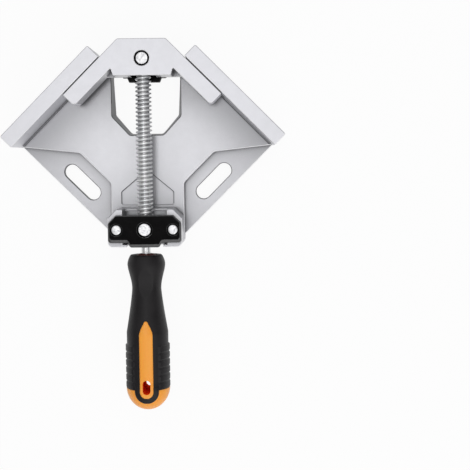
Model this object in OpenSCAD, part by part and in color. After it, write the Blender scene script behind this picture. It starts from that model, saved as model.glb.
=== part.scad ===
// Corner clamp: a die-cast base with two fences at a right angle, a V-shaped jaw on a swivelling
// screw, and a two-colour handle. Shown closed.
// Units are millimetres. Z is up from the bench, Y runs along the screw towards the corner, and
// the origin is on the bench under the axis of the swivel nut.

/* [Fences] */
// Distance from the nut's axis to the corner, where the two fence faces would meet
corner_y = 158; // [150:0.5:166]
// Where a fence starts, measured along its face from the corner
fence_start = 44.2; // [40:0.2:48]
// Length of a fence
fence_length = 92.4; // [86:0.2:100]
// Thickness of a fence
fence_thick = 11.2; // [9:0.2:14]
// Height of the fence tops above the bench
fence_top = 45; // [44:0.5:50]
// Plan radius on the fence's outer corners
fence_corner_r = 1.2; // [0.4:0.1:3]
// Width of the cored slots under a fence
fence_core = 4.4; // [3:0.1:5]
// Solid metal over those slots
fence_cap = 7; // [4:0.5:12]

/* [Bed] */
// Height of the bed
bed_top = 12; // [10:0.5:13]
// Thickness of the bed over the hollow underside
bed_skin = 4; // [3:0.25:5]
// Thickness of the walls round the hollows
wall = 4; // [3:0.25:5]
// Thickness of the ribs between them
rib = 3; // [2:0.25:4]
// Half width of the bed strip that carries the nut housing
strip_half = 28; // [27.4:0.1:31]
// Plan radius where the bed's outline bends
bed_corner_r = 4; // [2:0.5:6]
// Distance from the corner to the bed's far edge, under the jaw
bar_far = 24.3; // [22:0.1:28]
// Width of the glue groove along a fence's foot
groove_wide = 1.2; // [0.8:0.1:2]
// Depth of the glue groove
groove_deep = 0.6; // [0.3:0.1:1]

/* [Flange and slots] */
// Height of the slotted flange
flange_top = 5; // [4:0.5:7]
// Width of the flange, from the bed's ridge to its outer edge
flange_wide = 28.2; // [25:0.2:32]
// Step between a fence's end and the flange's edge
flange_step = 0.8; // [0.4:0.1:2]
// How far from the fence the bed's ridge starts to run along the flange
ridge_from_fence = 35; // [28:0.5:44]
// Overall length of a bench slot
slot_length = 34; // [28:0.5:38]
// Width of a bench slot
slot_width = 11.4; // [8.5:0.1:13]
// Distance of a slot's centre line from the flange's edge
slot_edge = 12.8; // [11:0.1:15]
// Distance of a slot's centre from the fence
slot_from_fence = 51.3; // [48:0.1:54]

/* [Window and panel] */
// Half width of the window under the screw
window_half = 26.3; // [22:0.1:27]
// Half width of the window's near edge
window_near_half = 13; // [10:0.1:16]
// Distance from the corner to the window's far edge, under the jaw
window_far = 38.5; // [37:0.1:41]
// Length of the window
window_length = 49.2; // [44:0.2:54]
// Length of the window's slanted sides, along the screw
window_slant = 14.4; // [10:0.2:18]
// How far the window's side walls lean in at the bottom, by the slanted sides
window_lean = 2.4; // [0.5:0.1:3]
// How far they lean in at the far end, under the jaw
window_lean_far = 0.8; // [0.4:0.1:1.6]
// How far the wall at the near end leans in
window_lean_near = 1.4; // [0.4:0.1:2]
// Plan radius of the window's corners
window_r = 3; // [1:0.5:5]
// Half width of the house-shaped panel sunk in the bed
panel_half = 19.8; // [16:0.1:22]
// Length of the panel's straight sides
panel_side = 9.8; // [7:0.1:12]
// Length of the panel's point
panel_point = 16.6; // [13:0.1:18]
// Distance of the panel from the nut housing
panel_gap = 2.2; // [1.5:0.1:4]
// Plan radius of the panel's corners
panel_r = 1; // [0.4:0.1:2]
// Depth of the panel
panel_depth = 0.8; // [0.4:0.1:1.5]

/* [Nut housing] */
// Reach of the housing ahead of the nut's axis
housing_front = 15; // [14:0.1:17]
// Reach of the housing behind the nut's axis
housing_rear = 12.9; // [12.8:0.1:15]
// Half width of the housing's front face
housing_nose = 21; // [19:0.1:22]
// Distance of the housing's sides from the edges of the bed strip
housing_inset = 0.6; // [0.3:0.1:1]
// Plan radius of the housing's rear corners
housing_r = 3.6; // [2:0.1:5]
// Half width of the channel that the nut stands in
channel_half = 16.5; // [14:0.1:17.5]
// Half width of the channel's rear mouth, behind the nut
rear_mouth_half = 13.5; // [12:0.1:14]
// Thickness of the lips beside that mouth
rear_lip = 2; // [1.4:0.1:2.2]
// Thickness of the low sill across the channel's front
sill_thick = 2; // [1.4:0.1:2.6]
// Height of that sill over the channel's floor
sill_tall = 3; // [1.5:0.1:5]
// Height of the channel's floor
channel_floor = 20.8; // [20:0.1:21.6]
// Height of the screw's axis
screw_z = 33.5; // [32.5:0.1:33.6]

/* [Swivel nut] */
// Radius of the nut's body
nut_r = 10.4; // [9.4:0.1:12]
// Radius of the nut's pivot holes
nut_hole_r = 5.8; // [5.4:0.05:6.4]
// Radius of the pin seen in the nut plate
nut_pin_r = 4.6; // [3.8:0.1:5]
// Depth of the lower pivot hole
nut_hole_deep = 11.4; // [8:0.1:14]
// How far the nut's pivot reaches into the plate
nut_pivot_rise = 1.35; // [1:0.05:1.8]
// How far the pin reaches into the plate
nut_pin_rise = 2.25; // [2:0.05:2.4]

/* [Nut plate] */
// Thickness of the plate
nut_plate_thick = 3; // [2.5:0.1:3.4]
// Half width of the plate
nut_plate_half = 27.1; // [26.4:0.1:27.2]
// Reach of the plate ahead of the nut's axis
nut_plate_front = 10.8; // [10:0.1:13]
// Size of its cut front corners
nut_plate_cut = 6; // [4:0.1:7]
// Size of its cut rear corners
nut_wing_cut = 1.6; // [1:0.1:3]
// Reach of its wings behind the nut's axis
nut_plate_wing = 9.6; // [8.6:0.1:10.4]
// Reach of its tongue behind the wings
nut_tongue = 3.4; // [2.6:0.1:4.4]
// Half width of the tongue's end
nut_tongue_half = 10.8; // [9:0.1:12]
// Distance of a rivet from the nut's axis
nut_rivet_x = 20.9; // [20.4:0.1:21.6]
// Radius of a rivet's shank
rivet_r = 2.4; // [2:0.1:2.6]
// Radius of a rivet's head
rivet_head_r = 3.5; // [3:0.1:4]
// Height of a rivet's head
rivet_head = 1; // [0.7:0.1:1.3]
// Depth of the sinkings that the rivet heads sit in
rivet_sink = 1.6; // [1.3:0.1:1.9]
// Width of the ring round a rivet head in its sinking
rivet_ring = 1; // [0.5:0.1:1.4]
// Length of a nut plate rivet in the housing
rivet_in = 15; // [10:0.5:18]

/* [Jaw] */
// Gap between the closed jaw and each fence
jaw_gap = 0.6; // [0.5:0.05:1]
// Distance from the corner to the jaw's pivot
pivot_back = 32.6; // [32:0.1:33.4]
// Distance from the corner to the jaw's flat nose
nose_back = 18.5; // [17.8:0.1:18.8]
// Distance from the corner to the rear of the jaw's centre block
rear_back = 45.1; // [44.4:0.1:46]
// Half width of the centre block
block_half = 21.1; // [20.4:0.1:22]
// How much wider the centre block is at its root
block_flare = 1.6; // [0.8:0.1:3]
// Where a jaw arm ends, measured along the fence from the corner
arm_end = 82.4; // [78:0.2:86]
// Thickness of a jaw arm
arm_thick = 11.5; // [10.5:0.1:13]
// Plan radius of a jaw arm's rear corner
arm_r = 3; // [1:0.1:4]
// Thickness of the walls of the hollow arms
arm_wall = 3.2; // [2.4:0.1:3.8]
// Underside of the jaw
jaw_bottom = 22.5; // [22.2:0.1:23]
// Thickness of the deck over the jaw's pivot and arms
deck_thick = 3.5; // [3:0.1:3.8]
// Height of the webs low in the jaw's notches
web_tall = 5; // [3:0.5:9]

/* [Jaw pivot] */
// Radius of the pivot block
pivot_r = 9.6; // [9:0.1:9.8]
// Distance of the block's flats from the pivot's axis
pivot_flat = 7; // [6.4:0.1:7.2]
// Radius of the cavity round the block
cavity_r = 10.8; // [10.7:0.1:11.4]
// Half width of the tunnel that the screw comes in through
tunnel_half = 9.5; // [8.6:0.1:9.8]
// Radius of the jaw's pivot holes
jaw_hole_r = 5.55; // [5.2:0.05:6]
// Radius of the pin seen in the jaw's top
jaw_pin_r = 4.4; // [3.8:0.1:4.8]
// How far the upper pivot reaches into the deck
jaw_pivot_rise = 1.6; // [1.2:0.1:2]
// How far the pin reaches into the deck
jaw_pin_rise = 2.1; // [1.8:0.1:2.6]

/* [Jaw plate] */
// Thickness of the plate
jaw_plate_thick = 2.5; // [2:0.1:3]
// Half width of the plate
jaw_plate_half = 19.4; // [18.6:0.1:20.2]
// Reach of the plate ahead of the pivot
jaw_plate_front = 8.6; // [7:0.1:9.4]
// Size of its cut corners
jaw_plate_cut = 3.6; // [2.5:0.1:4.5]
// Reach of its tongue behind the jaw
jaw_tongue = 3.7; // [2.5:0.1:5]
// Half width of the tongue's end
jaw_tongue_half = 11.6; // [10:0.1:13]
// How far the plate shows behind the jaw's rear face
jaw_plate_lip = 0.5; // [0.2:0.1:1]
// Distance of a rivet from the pivot's axis
jaw_rivet_x = 14.8; // [14.4:0.1:15.4]
// Length of a jaw plate rivet in the jaw
jaw_rivet_in = 10; // [8:0.5:14]

/* [Screw] */
// Outside diameter of the screw's thread
screw_d = 12; // [11:0.1:12]
// How far the thread reaches behind the nut's axis
thread_tail = 11.5; // [10.5:0.1:14]
// Diameter of the plain tip that turns in the jaw's pivot block
tip_d = 8; // [7:0.1:8.2]
// Diameter of the shank that the handle is fixed on
shank_d = 7.2; // [6:0.1:8]
// Depth of the shank in the handle
shank_in = 55; // [40:1:70]
// Thickness of the thrust washer
washer_thick = 1.6; // [1.2:0.1:1.8]
// Radius of the thrust washer
washer_r = 7.5; // [6.6:0.1:8]
// Thickness of the retaining clip
clip_thick = 1.2; // [0.8:0.1:1.3]
// Radius of the retaining clip
clip_r = 6.1; // [5.4:0.1:6.3]
// Depth of the clip's groove
clip_groove = 0.8; // [0.5:0.1:1]
// Half width of the clip's mouth
clip_mouth = 2.75; // [2.2:0.05:3]

/* [Handle] */
// Distance from the nut's axis to the handle's mouth
handle_gap = 19.2; // [18.4:0.1:22]
// Length of the handle
handle_length = 117.4; // [114:0.2:124]
// Radius at the mouth
mouth_r = 11.8; // [10.6:0.1:12.6]
// Radius of the bulge behind the mouth
bulge_r = 14.1; // [13:0.1:15]
// Distance of the bulge from the mouth
bulge_at = 7; // [5:0.1:9]
// Radius of the neck
neck_r = 10.9; // [10.2:0.1:12]
// Distance of the neck from the mouth
neck_at = 25.5; // [23:0.1:29]
// Radius of the grip where it is full
grip_r = 15.6; // [14.6:0.1:16.2]
// Distance from the mouth where the grip is full
grip_at = 58; // [52:0.5:64]
// How far the domed end starts behind the seam with the grip
dome_step = 1.1; // [0.5:0.1:2]
// Length of the domed end
dome_length = 18.2; // [15:0.1:20]
// Radius of the domed end
dome_r = 16.5; // [16.2:0.1:17]
// Radius of the hard core inside the grip
core_r = 8.2; // [7.6:0.1:8.8]
// How far the core's cone-shaped collar stands out of the mouth
collar_out = 1; // [0.6:0.1:2]
// Radius of the collar at the mouth
collar_r = 7.5; // [6.5:0.1:8]
// Wall of the collar's tip round the shank
collar_tip = 0.8; // [0.4:0.1:1.4]

/* [Grip strips and pads] */
// Half width of a coloured strip
strip_w = 5; // [4:0.1:5.6]
// Length of a strip
strip_length = 57.8; // [51:0.2:62]
// Length of a strip's point
strip_point = 10.5; // [8:0.1:13]
// Radius of a strip's tip
strip_tip_r = 0.6; // [0.3:0.1:1.5]
// Radius of the bends beside a strip's point
strip_bend_r = 6; // [3:0.5:9]
// Distance from a strip's round end to the handle's end
strip_gap = 11.2; // [10.4:0.1:12.4]
// Half width of the smooth band round a strip
band_w = 9.1; // [7.8:0.1:10]
// Distance from the band's end to the handle's end
band_gap = 6.8; // [5.4:0.1:8]
// Depth of the band where it lies in the dome
band_deep = 6; // [4:0.1:7]
// Length of the ridged pads
pad_length = 33; // [26:0.5:38]
// How far a pad stands out of the grip
pad_rise = 1; // [0.7:0.05:1.4]
// Depth of the grooves between a pad's ridges
pad_groove = 0.6; // [0.3:0.05:1]
// Distance from ridge to ridge
pad_pitch = 5.5; // [4.4:0.1:7]
// Length of a ridge's sloping flank
pad_flank = 1.2; // [0.6:0.1:1.8]
// Length of the hang hole
hang_length = 10.7; // [8:0.1:11.4]
// Width of the hang hole
hang_width = 5.8; // [4.5:0.1:6.2]
// Distance from the hang hole's centre to the handle's end
hang_back = 19.7; // [18.5:0.1:22]

/* [Hidden] */
$fn = 72;
arc_steps = 5;
// Plan radius of small corners on castings and plates
edge_r = 1;
// Plan radius of tight corners
tight_r = 0.6;
// Overshoot of a cutter past the face that it opens
over = 1;

// Running clearance between a pivot and its hole, on the radius
slack = 0.1;
// Running clearance between faces that turn past each other
face_slack = 0.2;
// Running clearance of the screw in the nut, on the radius
thread_slack = 0.06;
// Clearance along the screw at the thrust washer
thrust_slack = 0.05;

silver = [0.84, 0.84, 0.87];
steel = [0.72, 0.73, 0.75];
black = [0.06, 0.06, 0.07];
soft_black = [0.12, 0.11, 0.12];
orange = [0.95, 0.5, 0.12];

root = sqrt(2);
fence_end = fence_start + fence_length;
plate_z = fence_top - nut_plate_thick;
deck_z = fence_top - deck_thick;
jaw_plate_z = jaw_bottom - jaw_plate_thick;
pivot_y = corner_y - pivot_back;
nose_y = corner_y - nose_back;
jaw_rear = corner_y - rear_back;
handle_end = handle_gap + handle_length;

function unit(v) = v / norm(v);
function flat(p) = [p.x, p.y];
function with_r(p, r) = [p.x, p.y, r];
function cross_z(u, v) = u.x * v.y - u.y * v.x;

// Where the line through p along u meets the line through q along v
function meet(p, u, q, v) = p + u * (cross_z(q - p, v) / cross_z(u, v));

// Point beside the right fence's face: s along it from the corner, t outwards from it
function by_fence(s, t) = [(s + t) / root, corner_y - (s - t) / root];

// Points of a rounded corner at b, between a and c
function corner_arc(a, b, c, r) =
    let (u = unit(a - b), v = unit(c - b))
    let (half = acos(u * v) / 2)
    let (centre = b + unit(u + v) * (r / sin(half)))
    let (first = b + u * (r / tan(half)), last = b + v * (r / tan(half)))
    let (a0 = atan2(first.y - centre.y, first.x - centre.x))
    let (a1 = atan2(last.y - centre.y, last.x - centre.x))
    let (turn = ((a1 - a0 + 540) % 360) - 180)
    [for (i = [0 : arc_steps])
        centre + r * [cos(a0 + turn * i / arc_steps), sin(a0 + turn * i / arc_steps)]];

// Outline from points that each carry their corner radius as a third value
function rounded(p) =
    let (n = len(p))
    [for (i = [0 : n - 1]) each p[i].z <= 0 ? [flat(p[i])]
        : corner_arc(flat(p[(i + n - 1) % n]), flat(p[i]), flat(p[(i + 1) % n]), p[i].z)];

// A right half outline, from the corner end to the handle end, closed by its mirror image
function both(p) = concat(p, [for (i = [len(p) - 1 : -1 : 0]) [-p[i].x, p[i].y, p[i].z]]);

module plate(outline, z0, z1) {
    translate([0, 0, z0]) linear_extrude(z1 - z0) polygon(rounded(outline));
}

module two_sides() {
    children();
    mirror([1, 0, 0]) children();
}

// Right fence's own axes: X along its face from the corner, Y outwards
module fence_axes() {
    translate([0, corner_y, 0]) rotate([0, 0, -45]) children();
}

module rod_y(r, y0, y1) {
    translate([0, y0, screw_z]) rotate([-90, 0, 0]) cylinder(r = r, h = y1 - y0);
}

// Upright round bar at a point
module post(p, r, z0, z1) {
    translate([p.x, p.y, z0]) cylinder(r = r, h = z1 - z0);
}

// Base casting

// How far the bed and flange run into the foot of a fence
bite = 3;
// Narrow rim of the bed strip behind the housing
rear_rim = 0.2;
// Distance of a hollow's cross rib from its middle
rib_shift = 10;
ridge_s = fence_end - flange_step - flange_wide;
bed_near = by_fence(fence_end - 2 * flange_step, -flange_step);
ridge_out = by_fence(ridge_s, -ridge_from_fence);
ridge_in = [strip_half, corner_y - (ridge_s * root - strip_half)];
flange_s = fence_end - flange_step;
flange_tuck = strip_half - 2 * bite;
flange_in = [flange_tuck, corner_y - (flange_s * root - flange_tuck)];
strip_near = -housing_rear - rear_rim;
hollow_z = bed_top - bed_skin;
rib_x = window_half + wall;

module fence() {
    shape = [[fence_start, 0, 0], [fence_end, 0, 0], [fence_end, fence_thick, fence_corner_r],
        [fence_start, fence_thick, fence_corner_r]];
    cells = 3;
    cell = (fence_length - 2 * wall - (cells - 1) * rib) / cells;
    fence_axes() difference() {
        plate(shape, 0, fence_top);
        for (i = [0 : cells - 1])
            translate([fence_start + wall + i * (cell + rib), (fence_thick - fence_core) / 2, -over])
                cube([cell, fence_core, fence_top - fence_cap + over]);
    }
}

// Hollow between the fence's foot, the window's wall and the bed's ridge
module side_hollow() {
    along = [1, -1];
    across = [1, 1];
    edge = unit(ridge_out - bed_near);
    edge_in = bed_near + wall * [edge.y, -edge.x];
    beside_window = [rib_x, 0];
    a = meet(beside_window, [0, 1], by_fence(ridge_s - wall, 0), across);
    b = meet(edge_in, edge, by_fence(ridge_s - wall, 0), across);
    c = meet(edge_in, edge, by_fence(0, -wall - groove_wide), along);
    d = meet(beside_window, [0, 1], by_fence(0, -wall - groove_wide), along);
    difference() {
        translate([0, 0, -over]) linear_extrude(hollow_z + over) polygon([a, b, c, d]);
        translate([0, (a.y + d.y) / 2, -2 * over]) cube([fence_end, rib, hollow_z + 3 * over]);
        translate([(b.x + c.x) / 2 - rib_shift, 0, -2 * over]) cube([rib, corner_y, hollow_z + 3 * over]);
    }
}

module strip_hollows() {
    near = housing_front + wall;
    far = corner_y - window_far - window_length - wall;
    cell = (far - near - rib) / 2;
    wide = strip_half - wall - rib / 2;
    boss = nut_hole_r + wall;
    housing_long = housing_rear + housing_front - 2 * wall;
    for (i = [0 : 1])
        translate([rib / 2, near + i * (cell + rib), -over]) cube([wide, cell, hollow_z + over]);
    translate([boss + rib, -housing_rear + wall, -over])
        cube([strip_half - wall - boss - rib, housing_long, channel_floor - wall + over]);
}

// Window with walls that lean in from the bed's top to its underside
module window_cut() {
    far = corner_y - window_far;
    near = far - window_length;
    bend = near + window_slant;
    upper = both([[window_half, far, window_r], [window_half, bend, window_r],
        [window_near_half, near, window_r]]);
    lower = both([[window_half - window_lean_far, far - window_lean_far, window_r],
        [window_half - window_lean, bend + window_lean / 2, window_r],
        [window_near_half - window_lean / 2, near + window_lean_near, window_r]]);
    hull() {
        plate(upper, bed_top, bed_top + over);
        plate(lower, -over, 0);
    }
}

module bench_slot() {
    reach = (slot_length - slot_width) / 2;
    deep = flange_top + 2 * over;
    fence_axes() translate([flange_s - slot_edge, -slot_from_fence, -over]) {
        for (side = [-1, 1])
            translate([0, side * reach, 0]) cylinder(d = slot_width, h = deep);
        translate([-slot_width / 2, -reach, 0]) cube([slot_width, 2 * reach, deep]);
    }
}

// Channel for the nut, open at the top, over a sill in front and between two lips behind
module nut_channel() {
    room = housing_rear + housing_front - rear_lip - sill_thick;
    translate([-channel_half, rear_lip - housing_rear, channel_floor])
        cube([2 * channel_half, room, fence_top]);
    translate([-channel_half, 0, channel_floor + sill_tall])
        cube([2 * channel_half, 2 * housing_front, fence_top]);
    translate([-rear_mouth_half, -2 * housing_rear, channel_floor])
        cube([2 * rear_mouth_half, 2 * housing_rear, fence_top]);
    post([0, 0], nut_hole_r, channel_floor - nut_hole_deep, channel_floor + over);
}

module base_casting() {
    bar_s = fence_start + flange_step;
    bed = both([[bar_far - flange_step * root, corner_y - bar_far, edge_r],
        with_r(by_fence(bar_s, -flange_step), 0), with_r(by_fence(bar_s, bite), 0),
        with_r(by_fence(fence_end - 2 * flange_step, bite), 0),
        with_r(bed_near, 0), with_r(ridge_out, bed_corner_r), with_r(ridge_in, bed_corner_r),
        [strip_half, strip_near, bed_corner_r]]);
    flange = both([with_r(by_fence(flange_s, bite), 0), with_r(flange_in, 0)]);
    side = strip_half - housing_inset;
    housing = both([[housing_nose, housing_front, edge_r],
        [side, housing_front - (side - housing_nose), edge_r], [side, -housing_rear, housing_r]]);
    panel_near = housing_front + panel_gap;
    panel_bend = panel_near + panel_side;
    panel = [[0, panel_bend + panel_point, panel_r], [-panel_half, panel_bend, panel_r],
        [-panel_half, panel_near, panel_r], [panel_half, panel_near, panel_r],
        [panel_half, panel_bend, panel_r]];
    color(silver) difference() {
        union() {
            plate(bed, 0, bed_top);
            plate(flange, 0, flange_top);
            plate(housing, bed_top - over, plate_z);
            two_sides() fence();
        }
        two_sides() {
            side_hollow();
            strip_hollows();
            bench_slot();
            post([nut_rivet_x, 0], rivet_r, plate_z - rivet_in - over, fence_top);
            // Groove for squeezed-out glue
            fence_axes() translate([fence_start - fence_thick, -groove_wide, bed_top - groove_deep])
                cube([fence_length + 2 * fence_thick, groove_wide, groove_deep + over]);
        }
        window_cut();
        plate(panel, bed_top - panel_depth, bed_top + over);
        nut_channel();
    }
}

// Swivel nut and the plate over it

module swivel_nut() {
    pivot = nut_hole_r - slack;
    color(steel) difference() {
        union() {
            post([0, 0], nut_r, channel_floor + face_slack, plate_z - face_slack);
            post([0, 0], pivot, channel_floor - nut_hole_deep + 2 * face_slack, channel_floor + over);
            post([0, 0], pivot, plate_z - over, plate_z + nut_pivot_rise);
            post([0, 0], nut_pin_r, plate_z, plate_z + nut_pin_rise);
        }
        rod_y(screw_d / 2 + thread_slack, -2 * nut_r, 2 * nut_r);
    }
}

module nut_plate() {
    wing = -nut_plate_wing;
    outline = both([[nut_plate_half - nut_plate_cut, nut_plate_front, edge_r],
        [nut_plate_half, nut_plate_front - nut_plate_cut, edge_r],
        [nut_plate_half, wing + nut_wing_cut, tight_r], [nut_plate_half - nut_wing_cut, wing, tight_r],
        [nut_tongue_half + nut_tongue / 2, wing, edge_r], [nut_tongue_half, wing - nut_tongue, edge_r]]);
    color(black) difference() {
        plate(outline, plate_z, fence_top);
        post([0, 0], nut_hole_r, plate_z - over, fence_top + over);
        two_sides() {
            post([nut_rivet_x, 0], rivet_r, plate_z - over, fence_top + over);
            post([nut_rivet_x, 0], rivet_head_r + rivet_ring, fence_top - rivet_sink, fence_top + over);
        }
    }
}

module nut_rivet() {
    seat = fence_top - rivet_sink;
    color(steel) {
        post([nut_rivet_x, 0], rivet_r, plate_z - rivet_in, seat + rivet_head / 2);
        post([nut_rivet_x, 0], rivet_head_r, seat, seat + rivet_head);
    }
}

module nut_rivet_left() {
    mirror([1, 0, 0]) nut_rivet();
}

module nut_rivet_right() {
    nut_rivet();
}

// Jaw

arm_back = -jaw_gap - arm_thick;
arm_out = by_fence(arm_end, -jaw_gap);
arm_in = by_fence(arm_end, arm_back);
notch_x = block_half + block_flare;
notch = [notch_x, arm_in.y + arm_in.x - notch_x];
web_out = [arm_in.x - (jaw_rear - arm_in.y), jaw_rear];

module jaw_casting() {
    nose_half = nose_back - jaw_gap * root;
    outline = both([[nose_half, nose_y, 2 * edge_r], with_r(arm_out, edge_r), with_r(arm_in, arm_r),
        with_r(notch, tight_r), [block_half, jaw_rear, tight_r]]);
    web = [[notch.x, notch.y + over], [web_out.x + over, web_out.y + over], web_out,
        [block_half - over, jaw_rear]];
    arm_core = fence_start;
    color(silver) difference() {
        union() {
            plate(outline, jaw_bottom, fence_top);
            two_sides() translate([0, 0, jaw_bottom]) linear_extrude(web_tall) polygon(web);
        }
        // Cavity for the pivot block, and the tunnel that the screw comes in through
        post([0, pivot_y], cavity_r, jaw_bottom - over, deck_z);
        translate([-tunnel_half, jaw_rear - over, jaw_bottom - over])
            cube([2 * tunnel_half, pivot_y - jaw_rear + over, deck_z - jaw_bottom + over]);
        post([0, pivot_y], jaw_hole_r, deck_z - over, fence_top + over);
        two_sides() {
            post([jaw_rivet_x, pivot_y], rivet_r, jaw_bottom - over, jaw_bottom + jaw_rivet_in);
            // Hollow arm, open below
            fence_axes() translate([arm_core, arm_back + arm_wall, jaw_bottom - over])
                cube([arm_end - arm_core - arm_wall, arm_thick - 2 * arm_wall, deck_z - jaw_bottom + over]);
        }
    }
}

module jaw_plate() {
    front = pivot_y + jaw_plate_front;
    wing = jaw_rear - jaw_plate_lip;
    outline = both([[jaw_plate_half - jaw_plate_cut, front, edge_r],
        [jaw_plate_half, front - jaw_plate_cut, edge_r],
        [jaw_plate_half, wing + jaw_plate_cut, edge_r],
        [jaw_plate_half - jaw_plate_cut, wing, tight_r],
        [jaw_tongue_half + jaw_tongue / 3, wing, tight_r],
        [jaw_tongue_half, jaw_rear - jaw_tongue, edge_r]]);
    color(black) difference() {
        plate(outline, jaw_plate_z, jaw_bottom);
        post([0, pivot_y], jaw_hole_r, jaw_plate_z - over, jaw_bottom + over);
        two_sides() post([jaw_rivet_x, pivot_y], rivet_r, jaw_plate_z - over, jaw_bottom + over);
    }
}

module jaw_rivet() {
    color(steel) {
        post([jaw_rivet_x, pivot_y], rivet_r, jaw_plate_z - rivet_head / 2, jaw_bottom + jaw_rivet_in);
        post([jaw_rivet_x, pivot_y], rivet_head_r, jaw_plate_z - rivet_head, jaw_plate_z);
    }
}

module jaw_rivet_left() {
    mirror([1, 0, 0]) jaw_rivet();
}

module jaw_rivet_right() {
    jaw_rivet();
}

module jaw_pivot() {
    pivot = jaw_hole_r - slack;
    color(steel) difference() {
        union() {
            intersection() {
                post([0, pivot_y], pivot_r, jaw_bottom + face_slack, deck_z - face_slack);
                translate([-2 * pivot_r, pivot_y - pivot_flat, 0])
                    cube([4 * pivot_r, 2 * pivot_flat, 2 * fence_top]);
            }
            post([0, pivot_y], pivot, jaw_plate_z + 2 * face_slack, jaw_bottom + over);
            post([0, pivot_y], pivot, deck_z - over, deck_z + jaw_pivot_rise);
            post([0, pivot_y], jaw_pin_r, deck_z, deck_z + jaw_pin_rise);
        }
        rod_y(tip_d / 2 + slack, pivot_y - 2 * pivot_r, pivot_y + 2 * pivot_r);
    }
}

// Screw

shoulder_y = pivot_y - pivot_flat - thrust_slack - washer_thick;
clip_y = pivot_y + pivot_flat + 3 * thrust_slack;
tip_y = clip_y + clip_thick + over;
groove_r = tip_d / 2 - clip_groove;

module lead_screw() {
    color(steel) difference() {
        union() {
            rod_y(screw_d / 2, -thread_tail, shoulder_y);
            rod_y(tip_d / 2, shoulder_y - over, tip_y);
            rod_y(shank_d / 2, -handle_gap - shank_in, over - thread_tail);
        }
        difference() {
            rod_y(tip_d, clip_y, clip_y + clip_thick);
            rod_y(groove_r, clip_y - over, clip_y + clip_thick + over);
        }
    }
}

module thrust_washer() {
    color(steel) difference() {
        rod_y(washer_r, shoulder_y, shoulder_y + washer_thick);
        rod_y(tip_d / 2, shoulder_y - over, shoulder_y + washer_thick + over);
    }
}

module retaining_clip() {
    color(steel) difference() {
        rod_y(clip_r, clip_y, clip_y + clip_thick);
        rod_y(groove_r, clip_y - over, clip_y + clip_thick + over);
        translate([-clip_mouth, clip_y - over, screw_z - 2 * clip_r])
            cube([2 * clip_mouth, clip_thick + 2 * over, 2 * clip_r]);
    }
}

// Handle

dome_at = handle_length - dome_length;
dome_from = handle_gap + dome_at + dome_step;
pad_from = dome_from - pad_length;

// How early the bulge narrows towards the neck
neck_ease = 0.85;
// How evenly the grip widens behind the neck, 1 being a plain cone
flare_ease = 1.22;

// Smooth change from one radius to another, as share runs from 0 to 1
function swell(r0, r1, share) = r1 + (r0 - r1) * (1 + cos(180 * share)) / 2;

// Handle's radius at a distance from its mouth
function handle_r(d) =
    d < bulge_at ? mouth_r + (bulge_r - mouth_r) * sin(90 * d / bulge_at)
    : d < neck_at ? swell(bulge_r, neck_r, pow((d - bulge_at) / (neck_at - bulge_at), neck_ease))
    : d < grip_at ? neck_r + (grip_r - neck_r) * pow((d - neck_at) / (grip_at - neck_at), flare_ease)
    : grip_r;

// A solid of revolution on the screw's axis, from points of radius and distance behind the nut's axis
module turned(points) {
    translate([0, 0, screw_z]) rotate([90, 0, 0]) rotate_extrude() polygon(points);
}

module handle_body() {
    steps = 34;
    dome_steps = 10;
    swept = [for (i = [0 : steps]) let (d = grip_at * i / steps) [handle_r(d), handle_gap + d]];
    // The dome starts at the seam, a little way round its own curve, and the grip rises to it
    seam = asin(dome_step / dome_length);
    dome = [for (i = [0 : dome_steps]) let (a = seam + (90 - seam) * i / dome_steps)
        [dome_r * cos(a), handle_gap + dome_at + dome_length * sin(a)]];
    turned(concat([[0, handle_gap]], swept, [[grip_r, dome_from - pad_pitch]], dome));
}

// Pads on the two sides of the grip, ridged across
module side_pads() {
    ridges = floor(pad_length / pad_pitch);
    first = dome_from - ridges * pad_pitch;
    top = grip_r + pad_rise;
    low = top - pad_groove;
    wave = [for (i = [0 : ridges - 1]) let (z = first + i * pad_pitch)
        each [[low, z], [top, z + pad_flank], [top, z + pad_pitch - pad_flank]]];
    difference() {
        turned(concat([[core_r, pad_from], [grip_r, pad_from], [low, pad_from]], wave,
            [[low, dome_from], [core_r, dome_from]]));
        translate([-band_w, -handle_end, 0]) cube([2 * band_w, handle_end, 2 * fence_top]);
    }
}

// Something drawn in plan, standing above and below the screw's axis from a given height outwards
module above_and_below(rise) {
    for (turn = [0, 180])
        translate([0, 0, screw_z]) rotate([0, turn, 0]) translate([0, 0, rise])
            linear_extrude(2 * grip_r) children();
}

module strip_plan() {
    end = -handle_end + strip_gap;
    tip = end + strip_length;
    round_r = strip_w - tight_r / 2;
    polygon(rounded([[0, tip, strip_tip_r], [strip_w, tip - strip_point, strip_bend_r],
        [strip_w, end, round_r], [-strip_w, end, round_r], [-strip_w, tip - strip_point, strip_bend_r]]));
}

module band_plan() {
    end = -handle_end + band_gap;
    polygon(rounded([[band_w, over - dome_from, 0], [band_w, end, band_w - tight_r / 2],
        [-band_w, end, band_w - tight_r / 2], [-band_w, over - dome_from, 0]]));
}

// Room taken by the hard core, uncut by the handle's outer surface
module core_room() {
    rod_y(core_r, -dome_from - over, -handle_gap + over);
    above_and_below(core_r / 2) strip_plan();
    difference() {
        translate([-2 * grip_r, -handle_end - over, screw_z - 2 * grip_r])
            cube([4 * grip_r, handle_end + over - dome_from, 4 * grip_r]);
        above_and_below(grip_r - band_deep) band_plan();
    }
}

module hang_hole() {
    reach = (hang_length - hang_width) / 2;
    translate([0, -handle_end + hang_back, screw_z - 2 * grip_r]) {
        for (side = [-1, 1]) translate([0, side * reach, 0]) cylinder(d = hang_width, h = 4 * grip_r);
        translate([-hang_width / 2, -reach, 0]) cube([hang_width, 2 * reach, 4 * grip_r]);
    }
}

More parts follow.
